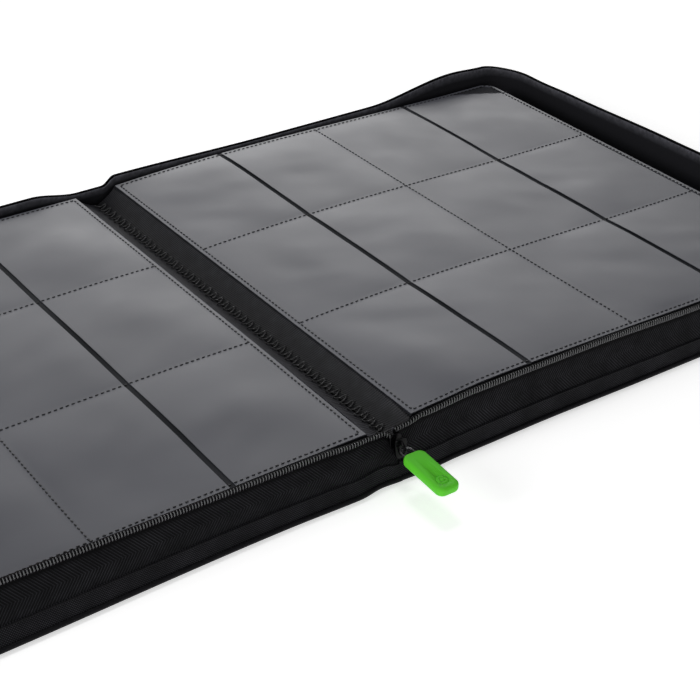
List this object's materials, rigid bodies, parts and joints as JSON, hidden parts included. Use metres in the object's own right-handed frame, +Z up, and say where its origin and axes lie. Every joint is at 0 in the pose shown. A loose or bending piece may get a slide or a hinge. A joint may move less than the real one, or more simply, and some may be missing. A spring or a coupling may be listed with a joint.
{
  "type": "trading card binder",
  "caption": "Zip-around soft binder lying open: two cloth covers folded on a spine, sewn leaves of side-loading card pockets, coil zip and a soft pull.",
  "frame": {"origin": "middle of the spine's outer face, where it rests on the table", "axes": "+X across the back cover half, +Y along the spine away from the zip pull, +Z up"},
  "size_m": [0.622, 0.343, 0.031],
  "materials": {
    "board": "stiff fibre board, hidden",
    "outer_skin": "black pebbled synthetic cloth",
    "lining": "black smooth lining",
    "binding": "black folded edge binding",
    "gusset": "black woven gusset",
    "zip_tape": "black herringbone zip tape",
    "coil": "dark nylon coil",
    "hinge_cloth": "black fine-ribbed hinge strip",
    "thread": "black polyester thread",
    "leaf_cloth": "black leaf backing",
    "pocket_film": "satin clear film over black backing",
    "black_metal": "gloss black enamelled zinc and wire",
    "green_rubber": "matte bright green silicone"
  },
  "bodies": {
    "back_cover": {"back_cover_board": "board", "back_cover_outer_skin": "outer_skin", "back_cover_lining": "lining", "back_cover_piping": "binding", "back_wall_gusset": "gusset", "back_zip_tape": "zip_tape", "back_zip_teeth": "coil"},
    "spine": {"spine_board": "board", "spine_outer_skin": "outer_skin", "spine_lining": "lining", "near_gusset_back_side": "gusset", "near_gusset_front_side": "gusset", "far_gusset_back_side": "gusset", "far_gusset_front_side": "gusset", "right_hinge_strip": "hinge_cloth", "left_hinge_strip": "hinge_cloth", "zigzag_seam": "thread", "near_zip_stop": "black_metal", "far_zip_stop": "black_metal"},
    "front_cover": {"front_cover_board": "board", "front_cover_outer_skin": "outer_skin", "front_cover_lining": "lining", "front_cover_piping": "binding", "front_wall_gusset": "gusset", "front_zip_tape": "zip_tape", "front_zip_teeth": "coil"},
    "back_pages": {"back_leaf_backing_1": "leaf_cloth", "back_leaf_backing_2": "leaf_cloth", "back_leaf_backing_3": "leaf_cloth", "back_leaf_backing_4": "leaf_cloth", "back_leaf_backing_5": "leaf_cloth", "back_leaf_backing_6": "leaf_cloth", "back_leaf_backing_7": "leaf_cloth", "back_leaf_backing_8": "leaf_cloth", "back_leaf_backing_9": "leaf_cloth", "back_leaf_pockets": "pocket_film"},
    "front_pages": {"front_leaf_backing_1": "leaf_cloth", "front_leaf_backing_2": "leaf_cloth", "front_leaf_backing_3": "leaf_cloth", "front_leaf_backing_4": "leaf_cloth", "front_leaf_backing_5": "leaf_cloth", "front_leaf_backing_6": "leaf_cloth", "front_leaf_backing_7": "leaf_cloth", "front_leaf_backing_8": "leaf_cloth", "front_leaf_backing_9": "leaf_cloth", "front_leaf_pockets": "pocket_film"},
    "right_top_leaf": {"right_leaf_backing": "leaf_cloth", "right_leaf_top_pockets": "pocket_film", "right_leaf_under_pockets": "pocket_film", "right_leaf_stitching": "thread"},
    "left_top_leaf": {"left_leaf_backing": "leaf_cloth", "left_leaf_top_pockets": "pocket_film", "left_leaf_under_pockets": "pocket_film", "left_leaf_stitching": "thread"},
    "zip_slider": {"slider_body": "black_metal", "slider_bridge": "black_metal"},
    "zip_puller": {"puller_loop": "black_metal", "pull_grip": "green_rubber"}
  },
  "joints": [
    {"name": "front_cover_fold", "type": "hinge", "parent": "spine", "child": "front_cover", "pos_m": [-0.0273, 0, 0.004], "axis": [0, 1, 0], "range_deg": [0, 90], "deforming": ["near_gusset_back_side", "near_gusset_front_side", "far_gusset_back_side", "far_gusset_front_side", "right_hinge_strip", "left_hinge_strip", "zigzag_seam"]},
    {"name": "spine_fold", "type": "hinge", "parent": "back_cover", "child": "spine", "pos_m": [0.0273, 0, 0.004], "axis": [0, 1, 0], "range_deg": [0, 90]},
    {"name": "back_pages_shift", "type": "slide", "parent": "back_cover", "child": "back_pages", "axis": [1, 0, 0], "range_m": [0, 0.01565]},
    {"name": "front_pages_shift", "type": "slide", "parent": "front_cover", "child": "front_pages", "axis": [-1, 0, 0], "range_m": [0, 0.01565]},
    {"name": "right_leaf_turn", "type": "hinge", "parent": "back_pages", "child": "right_top_leaf", "pos_m": [0, 0, 0.03], "axis": [0, 1, 0], "range_deg": [-180, 0]},
    {"name": "left_leaf_turn", "type": "hinge", "parent": "front_pages", "child": "left_top_leaf", "pos_m": [0, 0, 0.03], "axis": [0, -1, 0], "range_deg": [-180, 0]},
    {"name": "slider_travel", "type": "slide", "parent": "spine", "child": "zip_slider", "axis": [0, 0, 1], "range_m": [0, 0.01]},
    {"name": "puller_swing", "type": "hinge", "parent": "zip_slider", "child": "zip_puller", "pos_m": [0, -0.1543, 0.0185], "axis": [1, 0, 0], "range_deg": [-86, 80]}
  ],
  "couplings": [
    {"joint": "spine_fold", "follows": "front_cover_fold", "ratio": 1},
    {"joint": "back_pages_shift", "follows": "front_cover_fold", "m_per_rad": 0.0099621},
    {"joint": "front_pages_shift", "follows": "front_cover_fold", "m_per_rad": 0.0099621}
  ]
}
